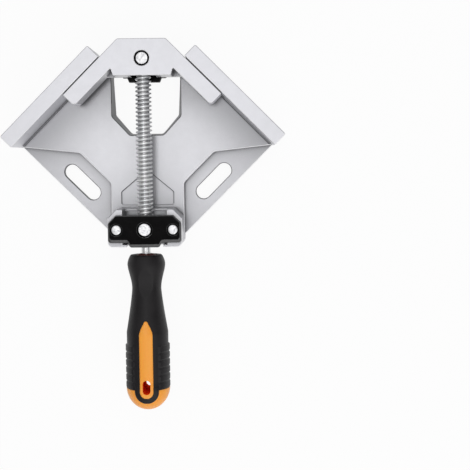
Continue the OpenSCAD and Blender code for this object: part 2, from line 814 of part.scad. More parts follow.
module handle_core() {
    color(orange) difference() {
        union() {
            intersection() {
                handle_body();
                core_room();
            }
            turned([[0, handle_gap + over], [collar_r, handle_gap + over], [collar_r, handle_gap],
                [shank_d / 2 + collar_tip, handle_gap - collar_out], [0, handle_gap - collar_out]]);
        }
        rod_y(shank_d / 2, -handle_gap - shank_in, 0);
        hang_hole();
    }
}

module handle_grip() {
    color(soft_black) difference() {
        union() {
            handle_body();
            side_pads();
        }
        core_room();
    }
}

base_casting();
swivel_nut();
nut_plate();
nut_rivet_left();
nut_rivet_right();
jaw_casting();
jaw_plate();
jaw_rivet_left();
jaw_rivet_right();
jaw_pivot();
lead_screw();
thrust_washer();
retaining_clip();
handle_core();
handle_grip();
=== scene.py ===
"""Looks of the corner clamp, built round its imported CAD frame."""
import math

import bmesh
import bpy
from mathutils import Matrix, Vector


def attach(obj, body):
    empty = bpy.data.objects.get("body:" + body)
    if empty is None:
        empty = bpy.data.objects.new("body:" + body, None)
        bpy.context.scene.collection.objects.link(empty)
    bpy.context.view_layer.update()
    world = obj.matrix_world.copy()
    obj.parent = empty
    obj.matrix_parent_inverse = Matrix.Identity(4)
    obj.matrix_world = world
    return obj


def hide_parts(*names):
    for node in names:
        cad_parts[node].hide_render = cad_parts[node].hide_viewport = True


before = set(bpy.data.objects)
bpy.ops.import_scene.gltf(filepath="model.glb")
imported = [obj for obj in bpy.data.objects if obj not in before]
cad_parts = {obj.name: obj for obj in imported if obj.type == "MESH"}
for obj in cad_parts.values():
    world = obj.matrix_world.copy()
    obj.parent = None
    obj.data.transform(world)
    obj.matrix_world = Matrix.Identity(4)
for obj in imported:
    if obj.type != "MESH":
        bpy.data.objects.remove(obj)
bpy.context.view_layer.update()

MM = 0.001

# Base and jaw, in millimetres like all the sizes that follow
SCREW_Z = 33.5
PIVOT_Y = 125.4
BED_TOP = 12.0
FENCE_TOP = 45.0
FLANGE_TOP = 5.0
FENCE_X = 40.0
FENCE_FOOT = 4.0
HOUSING_FAR = 20.0
SLOT_X, SLOT_Y = 50.7, 34.8
SLOT_REACH, SLOT_HALF = 11.3, 5.7
WINDOW_HALF, WINDOW_NEAR, WINDOW_FAR = 26.3, 70.3, 119.5
PANEL_HALF, PANEL_NEAR, PANEL_FAR, PANEL_EDGE = 19.8, 17.2, 43.6, 1.0
OPENING_RIM, OPENING_LIP = 0.6, 0.1
JAW_BOTTOM = 22.5
JAW_DECK_Z = 41.5
DECK_MARGIN = 0.5
CASTING_EASE, PLATE_EASE, PIN_EASE, WASHER_EASE, CLIP_EASE = 0.5, 0.5, 0.4, 0.2, 0.15
SAME_POINT, SHORT_EDGE = 0.001, 0.02

# Black plates, pins and rivets
PLATE_Z = 42.0
PLATE_HALF, PLATE_FRONT, PLATE_CUT = 27.1, 10.8, 6.0
PLATE_WING, WING_CUT = 9.6, 1.6
TONGUE, TONGUE_HALF = 3.4, 10.8
EDGE_R, TIGHT_R, SHARP_R, TONGUE_R = 1.0, 0.6, 0.05, 2.2
REAR_ROLL, SIDE_ROLL, FRONT_ROLL = 2.4, 1.2, 0.7
ROLL_DEEP = 1.3
HOLE_EASE = 0.2
JAW_PLATE_Z = 20.0
NUT_HOLE_R, NUT_PIN_R = 5.8, 4.6
JAW_PIN_R = 4.4
PIN_MARGIN = 0.05
NUT_RIVET_X = 20.9
JAW_RIVET_X = 14.8
RIVET_R = 2.4
RIVET_POINT = 0.3
RIVET_HEAD_R = 3.5
RIVET_HEAD = 1.0
RIVET_RIM = 0.25
RIVET_RING = 1.0
RIVET_SINK = 1.6
RIVET_IN = 15.0
JAW_RIVET_IN = 10.0

# Screw
SCREW_R, ROOT_R = 6.0, 4.25
PITCH = 3.0
THREAD_NEAR = -11.5
THREAD_LEAD, THREAD_SPARE = 1.2, 2.0
NEAR_CHAMFER, FAR_COLLAR, END_CHAMFER = 0.5, 0.4, 0.6
SHOULDER_Y = 116.75
CLIP_Y = 132.55
CLIP_THICK = 1.2
TIP_Y = 134.75
TIP_R = 4.0
GROOVE_R = 3.2
SHANK_R = 3.6
SHANK_END = -74.2

# Handle: places are measured back from the nut's axis, those of the bulge, neck and grip from its mouth
HANDLE_GAP = 19.2
HANDLE_END = 136.6
MOUTH_R = 11.8
BULGE_R, BULGE_AT = 14.1, 7.0
NECK_R, NECK_AT = 10.9, 25.5
GRIP_R, GRIP_AT = 15.6, 58.0
NECK_EASE, FLARE_EASE = 0.85, 1.22
THUMB_DEEP = 1.3
THUMB_IN, THUMB_OUT = (28.0, 36.0), (43.0, 51.0)
PAD_RISE = 1.0
PAD_STEP = 0.3
PAD_GROOVE = 0.6
PAD_LENGTH = 33.0
PAD_PITCH = 5.5
PAD_PLAIN = 1.0
PAD_INSIDE, PAD_OUTSIDE = 0.5, 0.9
GROOVE_FLOOR, GROOVE_EDGE = 0.06, 0.2
MOUTH_LIP = ((0.0, 0.45), (0.25, 0.15), (0.7, 0.03))
END_LIP = ((0.6, 0.0), (0.2, 0.15), (0.0, 0.7))
MOUTH_CLEAR, PAD_CLEAR, END_CLEAR = 1.2, 2.0, 0.75
NECK_SPACING, PAD_SPACING = 0.9, 0.42
DOME_LENGTH = 18.2
DOME_AT = HANDLE_END - DOME_LENGTH
DOME_FROM = DOME_AT + 1.1
DOME_R = 16.5
DOME_SEAT, DOME_SEAT_R = 2.0, 8.8
DOME_BEVEL, DOME_BEVEL_R = 0.6, 15.5
DOME_LIP = ((0.0, 0.05, 0.35), (0.2, -0.25, 0.05))
DOME_ROUND_FROM = DOME_FROM + 0.4
STRIP_TOP, BAND_TOP, GRIP_TOP, DOME_TOP = 16.2, 15.7, 15.6, 15.3
CORE_R = 8.2
CORE_PLAY = 0.05
ROD_FROM, ROD_LAP = HANDLE_GAP + 60.0, 4.0
COLLAR_R = 7.5
COLLAR_OUT = 1.0
COLLAR_IN = 1.0
COLLAR_TIP = 0.8
COLLAR_PLAY = 0.02
COLLAR_EASE, COLLAR_FLAT = 0.15, 0.2
STRIP_W = 5.0
STRIP_END = HANDLE_END - 11.2
STRIP_TIP = STRIP_END - 57.8
STRIP_POINT, STRIP_SWELL = 10.5, 1.6
STRIP_PROUD, STRIP_DEEP = 0.55, 2.5
TIP_ROUND = 1.6
BAND_W = 9.1
BAND_END = HANDLE_END - 6.8
BAND_LAP, BAND_PROUD, BAND_DEEP = 3.0, 0.3, 1.5
OVERLAY_DROP, OVERLAY_EASE, OVERLAY_LEAST = 0.55, 0.6, 0.02
HANG_AT = HANDLE_END - 19.7
HANG_LENGTH, HANG_WIDTH = 10.7, 5.8
HANG_MARGIN, HANG_EASE = 0.05, 0.25
CUTTER_HALF = 30.0

# Steps of round shapes
CORNER_STEPS, ROLL_STEPS, EASE_STEPS = 6, 6, 2
HOLE_STEPS, RIVET_STEPS, SCREW_STEPS = 48, 40, 40
GRIP_STEPS, CORE_STEPS, COLLAR_STEPS = 144, 96, 72
DOME_ROWS, BAND_ROWS, STRIP_ROWS, SLOT_STEPS = 22, 30, 70, 32

# Angles in degrees: faces merged as flat, edges rounded as sharp, and normals joined round an edge
FLAT_ANGLE, SHARP_ANGLE, NEAR_ANGLE, WIDE_ANGLE = 0.6, 34, 26, 70
SMOOTH_ANGLE, SCREW_ANGLE, CORE_ANGLE, GRIP_ANGLE = 35, 30, 40, 50

# Parts of a unit normal that tell walls, tops, fence faces, hole walls and the sides of an edge apart
WALL_Z, TOP_Z, FACE_Z, HOLE_Z = 0.5, 0.9, 0.3, 0.4
AWAY_Y, REAR_Y, SIDE_X = 0.2, -0.5, 0.8
THUMB_UP = 0.5

# Camera fitted to the photograph, in millimetres, metres and degrees
SENSOR_WIDTH, LENS = 36.0, 75.56
CAMERA_AT = (0.0680, 0.0517, 0.7687)
CAMERA_TURN = (-4.43, 0.06, -0.60)

# Stage, in metres and watts; a lamp has its name, place, aim, size and power
FLOOR_HALF, FLOOR_Z = 12.0, -0.0003
FLOOR_COLOUR, FLOOR_GLOW = (0.85, 0.85, 0.85, 1), 0.93
WORLD_LOW, WORLD_HIGH = (0.34, 0.34, 0.35, 1), (0.90, 0.90, 0.91, 1)
WORLD_HIGH_AT, WORLD_STRENGTH = 0.95, 0.66
LAMPS = (("key", (-0.105, 0.07, 1.21), (-0.105, 0.07, 0.0), 0.22, 0.66),
         ("back", (-0.15, 0.95, 0.9), (0.0, 0.03, 0.0), 1.6, 4.0),
         ("front", (0.38, -0.90, 0.95), (0.0, 0.0, 0.0), 1.7, 8.5))


def camera():
    data = bpy.data.cameras.new("camera")
    data.sensor_width = SENSOR_WIDTH
    data.lens = LENS
    data.clip_start = 0.01
    data.clip_end = 20.0
    obj = bpy.data.objects.new("camera", data)
    obj.location = CAMERA_AT
    obj.rotation_euler = [math.radians(a) for a in CAMERA_TURN]
    bpy.context.scene.collection.objects.link(obj)
    bpy.context.scene.camera = obj


# Materials


class Nodes:
    """A material's node tree, with short calls for what the finishes share."""

    def __init__(self, name):
        self.material = bpy.data.materials.new(name)
        self.material.use_nodes = True
        self.tree = self.material.node_tree
        self.tree.nodes.clear()
        out = self.add("ShaderNodeOutputMaterial")
        self.shader = self.add("ShaderNodeBsdfPrincipled")
        self.link(self.shader.outputs["BSDF"], out.inputs["Surface"])
        self.place = self.add("ShaderNodeTexCoord").outputs["Object"]

    def add(self, kind, **values):
        node = self.tree.nodes.new(kind)
        for key, value in values.items():
            setattr(node, key, value)
        return node

    def link(self, a, b):
        self.tree.links.new(a, b)

    def set(self, values):
        for key, value in values.items():
            self.shader.inputs[key].default_value = value

    def stretched(self, scale):
        node = self.add("ShaderNodeMapping")
        node.inputs["Scale"].default_value = scale
        self.link(self.place, node.inputs["Vector"])
        return node.outputs["Vector"]

    def noise(self, scale, detail, at=None):
        node = self.add("ShaderNodeTexNoise")
        for key, value in (("Scale", scale), ("Detail", detail), ("Roughness", 0.55)):
            node.inputs[key].default_value = value
        self.link(at or self.place, node.inputs["Vector"])
        return node.outputs["Fac"]

    def ramp(self, value, stops):
        node = self.add("ShaderNodeValToRGB")
        line = node.color_ramp.elements
        while len(line) < len(stops):
            line.new(0.5)
        for element, (at, colour) in zip(line, stops):
            element.position = at
            element.color = (*colour, 1.0)
        self.link(value, node.inputs["Fac"])
        return node.outputs["Color"]

    def spread(self, value, low, high, from_low=0.3, from_high=0.7):
        node = self.add("ShaderNodeMapRange")
        ends = (("From Min", from_low), ("From Max", from_high), ("To Min", low), ("To Max", high))
        for key, end in ends:
            node.inputs[key].default_value = end
        self.link(value, node.inputs["Value"])
        return node.outputs["Result"]

    def mix(self, factor, a, b):
        node = self.add("ShaderNodeMix", data_type="RGBA")
        share = [s for s in node.inputs if s.enabled and s.name == "Factor"][0]
        first, second = [s for s in node.inputs if s.enabled and s.type == "RGBA"]
        for socket, v in ((share, factor), (first, a), (second, b)):
            if isinstance(v, float):
                socket.default_value = v
            elif isinstance(v, tuple):
                socket.default_value = (*v, 1.0)
            else:
                self.link(v, socket)
        return [s for s in node.outputs if s.enabled][0]

    def corner_shade(self, reach, low, high, local=True):
        """Mask of painted shade in corners, from ambient occlusion: 1 at an openness of low and under, 0 at
        high and over.
        """
        node = self.add("ShaderNodeAmbientOcclusion", samples=6, only_local=local)
        node.inputs["Distance"].default_value = reach
        return self.spread(node.outputs["AO"], 1.0, 0.0, low, high)

    def colour(self, value):
        self.link(value, self.shader.inputs["Base Color"])

    def rough(self, value):
        self.link(value, self.shader.inputs["Roughness"])

    def bump(self, heights):
        """Bumps from (height, strength, distance in metres), finest first."""
        last = None
        for height, strength, distance in heights:
            node = self.add("ShaderNodeBump")
            node.inputs["Strength"].default_value = strength
            node.inputs["Distance"].default_value = distance
            self.link(height, node.inputs["Height"])
            if last:
                self.link(last, node.inputs["Normal"])
            last = node.outputs["Normal"]
        self.link(last, self.shader.inputs["Normal"])

    def grain(self, strength):
        """Fine grain of the castings."""
        self.bump([(self.noise(2600.0, 2.0), strength, 0.00012)])


def cast_aluminium(name, level, rough, grit, wide_shade=1.0):
    """Cast metal: level is its mean colour, grit its grain's strength, and the last argument the share of its
    colour left in wide corners, which are darkened there as painted shade; tight corners are darkened as
    painted shade too.
    """
    n = Nodes(name)
    n.set({"Metallic": 0.85})
    cloud = n.noise(16.0, 3.0)
    mottle = n.noise(160.0, 5.0)

    def grey(share):
        return (level * share, level * share, level * share * 1.04)

    colour = n.ramp(cloud, [(0.30, grey(0.97)), (0.70, grey(1.03))])
    colour = n.mix(0.14, colour, n.ramp(mottle, [(0.32, grey(0.87)), (0.66, grey(1.15))]))
    # Painted shade: wide corners near the fences and jaw darkened from ambient occlusion.
    if wide_shade < 1.0:
        colour = n.mix(n.corner_shade(0.035, 0.55, 0.95, False), colour, grey(wide_shade))
    # Painted shade: tight corners and creases darkened from ambient occlusion.
    n.colour(n.mix(n.corner_shade(0.004, 0.35, 0.85), colour, grey(0.28)))
    n.rough(n.spread(cloud, rough - 0.02, rough + 0.02))
    n.grain(grit)
    return n.material


def edge_highlight_aluminium():
    """Painted highlight for the edges of the castings: a lighter, less metallic copy of the cast metal."""
    n = Nodes("edge_highlight_aluminium")
    n.set({"Metallic": 0.3})
    highlight_noise = n.noise(240.0, 4.0)
    n.colour(n.ramp(highlight_noise, [(0.32, (0.78, 0.78, 0.80)), (0.60, (0.88, 0.88, 0.89))]))
    n.rough(n.spread(highlight_noise, 0.50, 0.40))
    n.grain(0.10)
    return n.material


def plated_steel(name, dark, mid, light, rough):
    n = Nodes(name)
    n.set({"Metallic": 1.0})
    n.colour(n.ramp(n.noise(120.0, 4.0), [(0.30, dark), (0.52, mid), (0.72, light)]))
    n.rough(n.spread(n.noise(350.0, 3.0), rough - 0.05, rough + 0.05))
    n.bump([(n.noise(900.0, 2.0), 0.04, 0.0001)])
    return n.material


def pressed_steel():
    n = Nodes("pressed_steel")
    n.set({"Metallic": 0.9})
    pits = n.noise(700.0, 4.0)
    dark, mid, light = (0.54, 0.54, 0.56), (0.77, 0.77, 0.78), (0.86, 0.86, 0.86)
    n.colour(n.ramp(pits, [(0.34, dark), (0.50, mid), (0.70, light)]))
    n.rough(n.spread(pits, 0.42, 0.28))
    n.bump([(pits, 0.22, 0.0002)])
    return n.material


def black_plate():
    n = Nodes("black_plate")
    n.set({"Metallic": 0.0, "Specular IOR Level": 0.04})
    specks = n.noise(900.0, 3.0)
    waves = n.noise(140.0, 3.0)
    n.colour(n.ramp(waves, [(0.35, (0.0016, 0.0014, 0.0015)), (0.65, (0.0034, 0.0030, 0.0032))]))
    n.rough(n.spread(specks, 0.16, 0.30))
    n.bump([(specks, 0.08, 0.0001), (waves, 0.15, 0.0004)])
    return n.material


def rolled_edge_sheen():
    """Rounded rim of the black plates, its lighter colour a painted sheen."""
    n = Nodes("rolled_edge_sheen")
    n.set({"Metallic": 0.0, "Specular IOR Level": 1.0})
    specks = n.noise(900.0, 3.0)
    n.colour(n.ramp(specks, [(0.42, (0.008, 0.008, 0.008)), (0.70, (0.04, 0.04, 0.04))]))
    n.rough(n.spread(specks, 0.30, 0.40))
    n.bump([(specks, 0.10, 0.0001)])
    return n.material


def orange_plastic(name, low, high, gloss=0.5):
    n = Nodes(name)
    n.set({"Metallic": 0.0, "Coat Weight": 0.3 * gloss, "Coat Roughness": 0.25, "Specular IOR Level": gloss,
           "Subsurface Weight": 0.08, "Subsurface Radius": (0.003, 0.001, 0.0005)})
    flow = n.noise(60.0, 3.0, n.stretched((1.0, 0.25, 1.0)))
    n.colour(n.ramp(flow, [(0.30, low), (0.70, high)]))
    n.rough(n.spread(n.noise(300.0, 3.0), 0.34, 0.46))
    n.bump([(n.noise(1700.0, 3.0), 0.12, 0.0001)])
    return n.material


def soft_grip():
    n = Nodes("soft_grip")
    n.set({"Metallic": 0.0, "Specular IOR Level": 0.30})
    scuff = n.noise(90.0, 5.0)
    colour = n.ramp(scuff, [(0.32, (0.0052, 0.0042, 0.0050)), (0.68, (0.0094, 0.0080, 0.0090))])
    # Painted shade: the grip's creases darkened from ambient occlusion.
    n.colour(n.mix(n.corner_shade(0.002, 0.35, 0.80), colour, (0.002, 0.0018, 0.002)))
    n.rough(n.spread(scuff, 0.40, 0.54))
    n.bump([(n.noise(2200.0, 3.0), 0.22, 0.00014)])
    return n.material


# Meshes


def piece(name, mesh, materials, body, slot, *nodes):
    """Object that rides a body and stands for the given CAD nodes."""
    obj = bpy.data.objects.new(name, mesh)
    bpy.context.scene.collection.objects.link(obj)
    for material in materials:
        mesh.materials.append(material)
    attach(obj, body)
    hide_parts(*nodes)


def mesh_from(name, verts, faces, angle=SMOOTH_ANGLE):
    mesh = bpy.data.meshes.new(name)
    mesh.from_pydata([[c * MM for c in v] for v in verts], [], faces)
    bm = bmesh.new()
    bm.from_mesh(mesh)
    bmesh.ops.recalc_face_normals(bm, faces=bm.faces)
    bm.to_mesh(mesh)
    bm.free()
    shade(mesh, angle)
    return mesh


def shade(mesh, angle):
    mesh.shade_smooth()
    mesh.set_sharp_from_angle(angle=math.radians(angle))
    mesh.update()


def hard_mesh(bm, name, rounding):
    """Mesh whose flat faces stay flat while its rounded faces turn smoothly between them."""
    normals = hardened(bm, rounding)
    mesh = bpy.data.meshes.new(name)
    bm.to_mesh(mesh)
    bm.free()
    mesh.shade_smooth()
    mesh.normals_split_custom_set(normals)
    return mesh


def hardened(bm, rounding):
    """A normal for each corner, from the faces round it that it should run on from."""
    near = math.cos(math.radians(NEAR_ANGLE))
    wide = math.cos(math.radians(WIDE_ANGLE))
    normals = []
    for f in bm.faces:
        limit = wide if f in rounding else near
        for loop in f.loops:
            faces = loop.vert.link_faces
            around = [g for g in faces if g not in rounding and g.normal.dot(f.normal) > limit]
            if not around:
                around = [g for g in faces if g.normal.dot(f.normal) > wide]
            total = Vector((0, 0, 0))
            for g in around:
                total += g.normal * g.calc_area()
            normals.append((total if total.length > 0 else f.normal).normalized())
    return normals


def quads(a, b):
    """Faces between two rings of as many points."""
    n = len(a)
    return [(a[i], b[i], b[(i + 1) % n], a[(i + 1) % n]) for i in range(n)]


def circle(r, y, steps):
    """Points round the screw's axis."""
    turns = [2 * math.pi * i / steps for i in range(steps)]
    return [(r * math.sin(a), y, SCREW_Z + r * math.cos(a)) for a in turns]


def smooth(x, a, b):
    """Soft step from 0 at a to 1 at b."""
    t = min(1.0, max(0.0, (x - a) / (b - a)))
    return t * t * (3 - 2 * t)


# Castings, pins and other pieces that are eased copies of their CAD nodes


def eased(node, name, width, materials, body, slot, finish=None):
    """A copy of a CAD node with its outer edges rounded; finish gives the number of a face's material."""
    bm = bmesh.new()
    bm.from_mesh(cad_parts[node].data)
    bmesh.ops.remove_doubles(bm, verts=bm.verts, dist=SAME_POINT * MM)
    bmesh.ops.dissolve_limit(bm, angle_limit=math.radians(FLAT_ANGLE), verts=bm.verts, edges=bm.edges)
    bm.normal_update()
    sharp = [e for e in bm.edges if e.is_manifold and e.calc_length() > SHORT_EDGE * MM
             and e.calc_face_angle_signed(0.0) > math.radians(SHARP_ANGLE)]
    made = bmesh.ops.bevel(bm, geom=sharp, offset=width * MM, segments=EASE_STEPS, profile=0.5,
                           affect="EDGES", clamp_overlap=False, miter_outer="SHARP")
    bm.normal_update()
    rounding = set(made["faces"])
    for f in bm.faces:
        f.material_index = finish(f, f in rounding) if finish else 0
    piece(name, hard_mesh(bm, name, rounding), materials, body, slot, node)


# Bevelled faces take the second material, which for the plates is their painted sheen.
def edge_sheen(f, bevelled):
    return 1 if bevelled else 0


def in_opening(x, y, z):
    """Whether a place on the base lies in a bench slot, in the bed's window or by the panel's outline."""
    across, along = abs(x) - SLOT_X, y - SLOT_Y
    end = SLOT_REACH / math.sqrt(2)
    reach = min(max((across + along) / 2, -end), end)
    off = math.hypot(across - reach, along - reach)
    slot = off < SLOT_HALF + OPENING_RIM and z < FLANGE_TOP + OPENING_LIP
    window = abs(x) < WINDOW_HALF + OPENING_RIM and WINDOW_NEAR - OPENING_RIM < y < WINDOW_FAR + OPENING_RIM
    panel = (abs(x) < PANEL_HALF + OPENING_RIM and PANEL_NEAR + OPENING_RIM < y < PANEL_FAR + PANEL_EDGE
             and z > BED_TOP - PANEL_EDGE)
    return slot or (z < BED_TOP + OPENING_LIP and (window or panel))


def casting_finish_and_light(f, bevelled):
    """Painted shade on the walls and edges of openings, a painted highlight on edges unless turned from the
    handle, tops and fence faces machined and painted lighter, the rest cast.
    """
    cast, edge_highlight, ground_and_lit, opening_shade = range(4)
    c = f.calc_center_median() / MM
    # Painted shade on the walls and edges of openings.
    if in_opening(c.x, c.y, c.z) and (bevelled or abs(f.normal.z) < WALL_Z):
        return opening_shade
    if bevelled:
        # Painted highlight on bevels unless turned from the handle.
        return edge_highlight if f.normal.y < AWAY_Y else cast
    middle = f.calc_center_bounds() / MM
    # Tops and fence faces take the lighter copy: a machined finish, and painted light too.
    top = f.normal.z > TOP_Z and c.z > JAW_DECK_Z - DECK_MARGIN and middle.y > HOUSING_FAR
    face = abs(middle.x) > FENCE_X and middle.z > BED_TOP + FENCE_FOOT and abs(f.normal.z) < FACE_Z
    return ground_and_lit if top or face else cast


def pin_ring_shade(y, r, above):
    """Painted shade: the dark material on the faces round a pin that stands at x 0, from a given height
    upwards.
    """
    def in_shade_ring(v):
        return v.co.z > above * MM and math.hypot(v.co.x, v.co.y - y * MM) > (r - PIN_MARGIN) * MM

    def finish(f, bevelled):
        return 1 if all(in_shade_ring(v) for v in f.verts) else 0

    return finish


# Upper plate and rivets


def corner_arc(a, b, c, r):
    """Points of a rounded corner at b, between a and c."""
    u, v = (a - b).normalized(), (c - b).normalized()
    half = u.angle(v) / 2
    centre = b + (u + v).normalized() * (r / math.sin(half))
    first = b + u * (r / math.tan(half)) - centre
    last = b + v * (r / math.tan(half)) - centre
    turn = -first.angle_signed(last)
    start = math.atan2(first.y, first.x)
    angles = [start + turn * k / CORNER_STEPS for k in range(CORNER_STEPS + 1)]
    return [centre + r * Vector((math.cos(t), math.sin(t))) for t in angles]


def rounded(points):
    """Outline from points of x, y and corner radius."""
    flat = [Vector(q[:2]) for q in points]
    n = len(flat)
    line = []
    for k, q in enumerate(points):
        line += corner_arc(flat[k - 1], flat[k], flat[(k + 1) % n], q[2])
    return line


def inset(points, roll, share):
    """Corners of the outline with each edge moved inwards by a share of the roll on its side."""
    flat = [Vector(q[:2]) for q in points]
    n = len(flat)
    turn = 1 if sum(flat[k - 1].cross(flat[k]) for k in range(n)) > 0 else -1
    ways = [(flat[(k + 1) % n] - flat[k]).normalized() for k in range(n)]
    outs = [Vector((w.y, -w.x)) * turn for w in ways]
    moves = [roll(o) * share for o in outs]
    moved = []
    for k, (_, _, r) in enumerate(points):
        before, after = flat[k] - outs[k - 1] * moves[k - 1], flat[k] - outs[k] * moves[k]
        bend = ways[k - 1].cross(ways[k])
        corner = before + ways[k - 1] * ((after - before).cross(ways[k]) / bend)
        mean = (moves[k - 1] + moves[k]) / 2
        moved.append((corner.x, corner.y, max(SHARP_R, r - mean) if bend * turn > 0 else r + mean))
    return moved


def stamped_plate(name, half, z0, z1, holes, roll):
    """Plate with rolled upper edges, from the right half of its outline.

    A hole is (x, radius, sinking radius, sinking depth), with a sinking radius of 0 for a plain one.
    """
    bm = bmesh.new()
    corners = half + [(-x, y, r) for x, y, r in reversed(half)]

    def ring(points, z):
        return [bm.verts.new((q.x * MM, q.y * MM, z * MM)) for q in points]

    def wall(a, b):
        n = len(a)
        return [bm.faces.new((a[k], a[(k + 1) % n], b[(k + 1) % n], b[k])) for k in range(n)]

    def edges(loop):
        return [bm.edges.get((loop[k - 1], loop[k])) for k in range(len(loop))]

    rounding = []
    low = last = ring(rounded(corners), z0)
    for k in range(ROLL_STEPS + 1):
        a = math.pi / 2 * k / ROLL_STEPS
        now = ring(rounded(inset(corners, roll, 1 - math.cos(a))), z1 - ROLL_DEEP * (1 - math.sin(a)))
        made = wall(last, now)
        rounding += made if k else []
        last = now
    tops, bottoms = edges(last), edges(low)
    turns = [2 * math.pi * j / HOLE_STEPS for j in range(HOLE_STEPS)]
    for x, r, sink_r, deep in holes:
        outer = sink_r or r
        steps = [(outer + HOLE_EASE, z1), (outer, z1 - HOLE_EASE)]
        steps += [(outer, z1 - deep), (r, z1 - deep)] if sink_r else []
        steps.append((r, z0))
        rings = [ring([Vector((x + radius * math.cos(t), radius * math.sin(t))) for t in turns], z)
                 for radius, z in steps]
        walls = [wall(a, b) for a, b in zip(rings, rings[1:])]
        rounding += walls[0]
        tops += edges(rings[0])
        bottoms += edges(rings[-1])
    for loop in (tops, bottoms):
        bmesh.ops.triangle_fill(bm, use_beauty=True, use_dissolve=False, edges=loop)
    bmesh.ops.recalc_face_normals(bm, faces=bm.faces)
    bm.normal_update()
    # Painted sheen: the rolled faces and the rims of the holes take the lighter rim material.
    for f in rounding:
        f.material_index = 1
    return hard_mesh(bm, name, set(rounding))


def housing_plate(materials):
    """Black plate over the housing, its rear edge rolled the widest."""
    half = [(PLATE_HALF - PLATE_CUT, PLATE_FRONT, EDGE_R), (PLATE_HALF, PLATE_FRONT - PLATE_CUT, EDGE_R),
            (PLATE_HALF, WING_CUT - PLATE_WING, TIGHT_R), (PLATE_HALF - WING_CUT, -PLATE_WING, TIGHT_R),
            (TONGUE_HALF + TONGUE / 2, -PLATE_WING, EDGE_R), (TONGUE_HALF, -PLATE_WING - TONGUE, TONGUE_R)]
    holes = [(0.0, NUT_HOLE_R, 0.0, 0.0)]
    holes += [(side * NUT_RIVET_X, RIVET_R, RIVET_HEAD_R + RIVET_RING, RIVET_SINK) for side in (-1, 1)]

    def roll(outward):
        if outward.y < REAR_Y:
            return REAR_ROLL
        return SIDE_ROLL if abs(outward.x) > SIDE_X else FRONT_ROLL

    mesh = stamped_plate("housing_plate", half, PLATE_Z, FENCE_TOP, holes, roll)
    piece("housing_plate", mesh, materials, "base", "black_plate", "nut_plate")


def on_axis(point, along, u, v, t):
    """Place at t along an axis through the point, u and v off it."""
    if along == "y":
        return (point[0] + u, point[1] + t, point[2] + v)
    return (point[0] + u, point[1] + v, point[2] + t)


def lathe(profile, steps, point=(0.0, 0.0, SCREW_Z), along="y", closed=False):
    """Verts and faces turned from a profile of (radius, place along the axis); closed joins its ends."""
    verts, faces, rings = [], [], []
    for r, t in profile:
        turns = [2 * math.pi * i / steps for i in range(steps)] if r > 0 else [0.0]
        rings.append(list(range(len(verts), len(verts) + len(turns))))
        verts += [on_axis(point, along, r * math.sin(a), r * math.cos(a), t) for a in turns]
    for a, b in zip(rings, rings[1:] + (rings[:1] if closed else [])):
        if len(a) == 1:
            faces += [(a[0], b[i], b[(i + 1) % steps]) for i in range(steps)]
        elif len(b) == 1:
            faces += [(a[i], b[0], a[(i + 1) % steps]) for i in range(steps)]
        else:
            faces += quads(a, b)
    return verts, faces


def rivet(name, node, material, body, x, y, seat, up, shank):
    """Rivet with a softly domed head, seat being where the head sits and up its direction, 1 or -1."""
    side = [(0.0, -shank), (RIVET_R - RIVET_POINT, -shank), (RIVET_R, RIVET_POINT - shank), (RIVET_R, 0.0)]
    side += [(RIVET_HEAD_R, 0.0)]
    crown = [(0.0, 2.0), (0.3, 0.9), (1.2, 0.35), (4.0, 0.1)]
    side += [(RIVET_HEAD_R - inward * RIVET_RIM, RIVET_HEAD - down * RIVET_RIM) for inward, down in crown]
    side += [(0.0, RIVET_HEAD)]
    verts, faces = lathe([(r, seat + up * z) for r, z in side], RIVET_STEPS, (x, y, 0.0), "z")
    piece(name, mesh_from(name, verts, faces), [material], body, "plated_steel", node)


# Screw


